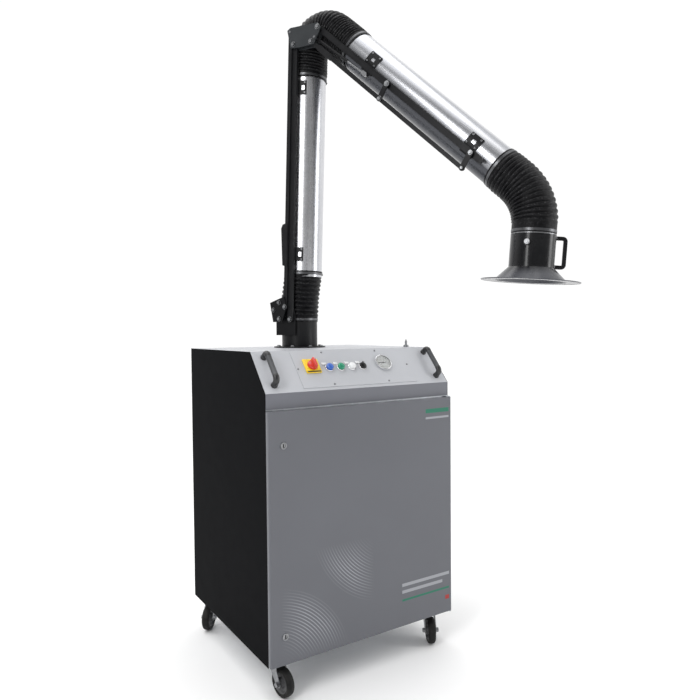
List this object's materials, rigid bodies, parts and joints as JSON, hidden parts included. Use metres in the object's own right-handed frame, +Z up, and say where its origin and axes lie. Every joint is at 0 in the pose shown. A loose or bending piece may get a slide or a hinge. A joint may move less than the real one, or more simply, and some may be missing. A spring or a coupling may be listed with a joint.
{
  "type": "mobile fume extractor",
  "caption": "Fume extractor in a wheeled cabinet, with a console on its sloping front and a hinged suction arm of tubes and hoses that carries a flanged hood",
  "frame": {"origin": "on the floor under the centre of the cabinet's footprint", "axes": "+X to the right along the cabinet's front, +Y from the front to the back, +Z up"},
  "size_m": [1.0411, 1.2754, 2.5531],
  "materials": {
    "panel_black": "fine-textured black powder coat",
    "panel_grey": "light grey powder coat",
    "door_grey": "mid grey powder coat with printed lines",
    "sheet_zinc": "galvanised sheet",
    "arm_black": "satin black powder coat",
    "tube_aluminium": "drawn aluminium tube",
    "zinc_plated": "bright zinc plate",
    "caster_tyre": "black rubber tyre on a black hub",
    "hose_black": "black corrugated hose cloth",
    "tank_blue": "enamel",
    "filter_media": "pleated filter media",
    "fan_alloy": "cast alloy",
    "plastic_black": "moulded black plastic",
    "plastic_red": "moulded red plastic",
    "plastic_blue": "moulded blue plastic",
    "plastic_green": "moulded green plastic",
    "plastic_white": "moulded white plastic",
    "gauge_steel": "gauge case"
  },
  "bodies": {
    "cabinet": {"chassis_pan": "sheet_zinc", "side_panel_left": "panel_black", "side_panel_right": "panel_black", "rear_panel": "panel_black", "roof_panel": "panel_grey", "console_panel": "panel_grey", "front_frame": "sheet_zinc", "fan_deck": "sheet_zinc", "fan_housing": "sheet_zinc", "fan_motor": "tank_blue", "air_tank": "tank_blue", "electrical_box": "sheet_zinc", "filter_cartridge": "filter_media", "dust_bin": "sheet_zinc", "duct_flange": "arm_black", "cabinet_screws": "zinc_plated", "bridge_handles": "plastic_black", "control_plate": "panel_grey", "control_bezels": "plastic_black", "pressure_gauge": "gauge_steel", "air_nipple": "zinc_plated", "cable_gland": "plastic_black", "caster_plates": "zinc_plated"},
    "door": {"door_panel": "door_grey"},
    "door_lock_upper": {"door_lock_upper": "zinc_plated"},
    "door_lock_lower": {"door_lock_lower": "zinc_plated"},
    "fan": {"fan_impeller": "fan_alloy"},
    "switch_knob": {"switch_knob": "plastic_red"},
    "button_blue": {"button_blue": "plastic_blue"},
    "button_green": {"button_green": "plastic_green"},
    "button_white": {"button_white": "plastic_white"},
    "selector_knob": {"selector_knob": "plastic_black"},
    "gauge_needle": {"gauge_needle": "plastic_black"},
    "arm_base": {"swivel_collar": "arm_black", "base_hose": "hose_black"},
    "lower_arm": {"lower_tube": "tube_aluminium", "lower_beam": "arm_black", "elbow_hose_lower": "hose_black"},
    "lower_rod": {"lower_rod": "arm_black"},
    "elbow": {"elbow_plate": "arm_black"},
    "upper_arm": {"upper_tube": "tube_aluminium", "upper_beam": "arm_black", "elbow_hose_upper": "hose_black"},
    "upper_rod": {"upper_rod": "arm_black"},
    "mid_link": {"mid_link": "arm_black"},
    "end_link": {"end_link": "arm_black"},
    "gas_cylinder": {"gas_cylinder": "arm_black"},
    "gas_piston": {"gas_piston": "zinc_plated"},
    "wrist": {"wrist_stem": "zinc_plated", "wrist_hose": "hose_black"},
    "hood": {"hood": "arm_black"},
    "damper": {"damper": "zinc_plated"},
    "fork_front_left": {"caster_fork_front_left": "zinc_plated"},
    "wheel_front_left": {"caster_wheel_front_left": "caster_tyre"},
    "fork_front_right": {"caster_fork_front_right": "zinc_plated"},
    "wheel_front_right": {"caster_wheel_front_right": "caster_tyre"},
    "fork_rear_left": {"caster_fork_rear_left": "zinc_plated"},
    "wheel_rear_left": {"caster_wheel_rear_left": "caster_tyre"},
    "fork_rear_right": {"caster_fork_rear_right": "zinc_plated"},
    "wheel_rear_right": {"caster_wheel_rear_right": "caster_tyre"}
  },
  "joints": [
    {"name": "door_swing", "type": "hinge", "parent": "cabinet", "child": "door", "pos_m": [0.394, -0.3735, 0.5], "axis": [0, 0, 1], "range_deg": [0, 110]},
    {"name": "lock_upper_turn", "type": "hinge", "parent": "door", "child": "door_lock_upper", "pos_m": [-0.345, -0.3795, 0.8685], "axis": [0, -1, 0], "range_deg": [0, 90]},
    {"name": "lock_lower_turn", "type": "hinge", "parent": "door", "child": "door_lock_lower", "pos_m": [-0.345, -0.3795, 0.224], "axis": [0, -1, 0], "range_deg": [0, 90]},
    {"name": "fan_spin", "type": "hinge", "parent": "cabinet", "child": "fan", "pos_m": [-0.17, -0.06, 0.95], "axis": [0, 0, 1], "continuous": true},
    {"name": "main_switch_turn", "type": "hinge", "parent": "cabinet", "child": "switch_knob", "pos_m": [-0.184, -0.29592, 1.12633], "axis": [0, -0.7577, 0.6526], "range_deg": [-90, 0]},
    {"name": "button_blue_press", "type": "slide", "parent": "cabinet", "child": "button_blue", "axis": [0, 0.7577, -0.6526], "range_m": [0, 0.0035], "stiffness_N_per_m": 600, "springref_m": -0.002},
    {"name": "button_green_press", "type": "slide", "parent": "cabinet", "child": "button_green", "axis": [0, 0.7577, -0.6526], "range_m": [0, 0.0035], "stiffness_N_per_m": 600, "springref_m": -0.002},
    {"name": "button_white_press", "type": "slide", "parent": "cabinet", "child": "button_white", "axis": [0, 0.7577, -0.6526], "range_m": [0, 0.0035], "stiffness_N_per_m": 600, "springref_m": -0.002},
    {"name": "selector_turn", "type": "hinge", "parent": "cabinet", "child": "selector_knob", "pos_m": [0.0305, -0.30245, 1.11875], "axis": [0, -0.7577, 0.6526], "range_deg": [-45, 45]},
    {"name": "gauge_needle_turn", "type": "hinge", "parent": "cabinet", "child": "gauge_needle", "pos_m": [0.13, -0.29376, 1.12578], "axis": [0, -0.7577, 0.6526], "range_deg": [-270, 0], "stiffness_Nm_per_rad": 0.002},
    {"name": "caster_swivel_front_left", "type": "hinge", "parent": "cabinet", "child": "fork_front_left", "pos_m": [-0.344, -0.302, 0.11], "axis": [0, 0, 1], "continuous": true},
    {"name": "wheel_roll_front_left", "type": "hinge", "parent": "fork_front_left", "child": "wheel_front_left", "pos_m": [-0.33705, -0.34139, 0.05], "axis": [0.9848, 0.1736, 0], "continuous": true},
    {"name": "caster_swivel_front_right", "type": "hinge", "parent": "cabinet", "child": "fork_front_right", "pos_m": [0.344, -0.302, 0.11], "axis": [0, 0, 1], "continuous": true},
    {"name": "wheel_roll_front_right", "type": "hinge", "parent": "fork_front_right", "child": "wheel_front_right", "pos_m": [0.324, -0.33664, 0.05], "axis": [0.866, -0.5, 0], "continuous": true},
    {"name": "caster_swivel_rear_left", "type": "hinge", "parent": "cabinet", "child": "fork_rear_left", "pos_m": [-0.344, 0.302, 0.11], "axis": [0, 0, 1], "continuous": true},
    {"name": "wheel_roll_rear_left", "type": "hinge", "parent": "fork_rear_left", "child": "wheel_rear_left", "pos_m": [-0.37077, 0.27227, 0.05], "axis": [0.7431, -0.6691, 0], "continuous": true},
    {"name": "caster_swivel_rear_right", "type": "hinge", "parent": "cabinet", "child": "fork_rear_right", "pos_m": [0.344, 0.302, 0.11], "axis": [0, 0, 1], "continuous": true},
    {"name": "wheel_roll_rear_right", "type": "hinge", "parent": "fork_rear_right", "child": "wheel_rear_right", "pos_m": [0.364, 0.26736, 0.05], "axis": [0.866, 0.5, 0], "continuous": true},
    {"name": "arm_swivel", "type": "hinge", "parent": "cabinet", "child": "arm_base", "pos_m": [0, 0.132, 1.25], "axis": [0, 0, 1], "range_deg": [-170, 170]},
    {"name": "lower_arm_tilt", "type": "hinge", "parent": "arm_base", "child": "lower_arm", "pos_m": [-0.07524, 0.07115, 1.297], "axis": [0.8829, 0.4695, 0], "range_deg": [-7, 40], "deforming": ["base_hose", "elbow_hose_lower"]},
    {"name": "lower_rod_tilt", "type": "hinge", "parent": "arm_base", "child": "lower_rod", "pos_m": [-0.08717, 0.08293, 1.349], "axis": [0.8829, 0.4695, 0], "range_deg": [-7, 40]},
    {"name": "elbow_level", "type": "hinge", "parent": "lower_arm", "child": "elbow", "pos_m": [-0.06065, 0.03307, 2.40086], "axis": [0.8829, 0.4695, 0], "range_deg": [-40, 7]},
    {"name": "upper_arm_tilt", "type": "hinge", "parent": "elbow", "child": "upper_arm", "pos_m": [-0.00281, -0.06506, 2.44526], "axis": [0.8829, 0.4695, 0], "range_deg": [-33, 12], "deforming": ["elbow_hose_upper"]},
    {"name": "upper_rod_tilt", "type": "hinge", "parent": "elbow", "child": "upper_rod", "pos_m": [-0.0262, -0.04239, 2.39526], "axis": [0.8829, 0.4695, 0], "range_deg": [-33, 12]},
    {"name": "mid_link_level", "type": "hinge", "parent": "upper_arm", "child": "mid_link", "pos_m": [0.12472, -0.33686, 2.16564], "axis": [0.8829, 0.4695, 0], "range_deg": [-12, 33]},
    {"name": "end_link_level", "type": "hinge", "parent": "upper_arm", "child": "end_link", "pos_m": [0.2751, -0.6197, 1.86692], "axis": [0.8829, 0.4695, 0], "range_deg": [-12, 33]},
    {"name": "gas_spring_tilt", "type": "hinge", "parent": "elbow", "child": "gas_cylinder", "pos_m": [-0.0093, -0.05606, 2.40626], "axis": [0.8829, 0.4695, 0], "range_deg": [-34.51, 12.87]},
    {"name": "gas_piston_slide", "type": "slide", "parent": "gas_cylinder", "child": "gas_piston", "axis": [0.3568, -0.671, -0.6499], "range_m": [-0.00868, 0.02299]},
    {"name": "wrist_tilt", "type": "hinge", "parent": "upper_arm", "child": "wrist", "pos_m": [0.46682, -0.74597, 1.7091], "axis": [0.8829, 0.4695, 0], "range_deg": [-45, 60], "deforming": ["wrist_hose"]},
    {"name": "hood_turn", "type": "hinge", "parent": "wrist", "child": "hood", "pos_m": [0.46682, -0.74597, 1.7091], "axis": [0.0352, -0.0662, 0.9972], "range_deg": [-150, 150]},
    {"name": "damper_turn", "type": "hinge", "parent": "hood", "child": "damper", "pos_m": [0.46112, -0.73525, 1.54756], "axis": [0.8829, 0.4695, 0], "range_deg": [0, 90]}
  ],
  "couplings": [
    {"joint": "lower_rod_tilt", "follows": "lower_arm_tilt", "ratio": 1},
    {"joint": "elbow_level", "follows": "lower_arm_tilt", "ratio": -1},
    {"joint": "upper_rod_tilt", "follows": "upper_arm_tilt", "ratio": 1},
    {"joint": "mid_link_level", "follows": "upper_arm_tilt", "ratio": -1},
    {"joint": "end_link_level", "follows": "upper_arm_tilt", "ratio": -1},
    {"joint": "gas_spring_tilt", "follows": "upper_arm_tilt", "ratio": 1.0306},
    {"joint": "gas_piston_slide", "follows": "upper_arm_tilt", "m_per_rad": -0.03904}
  ]
}
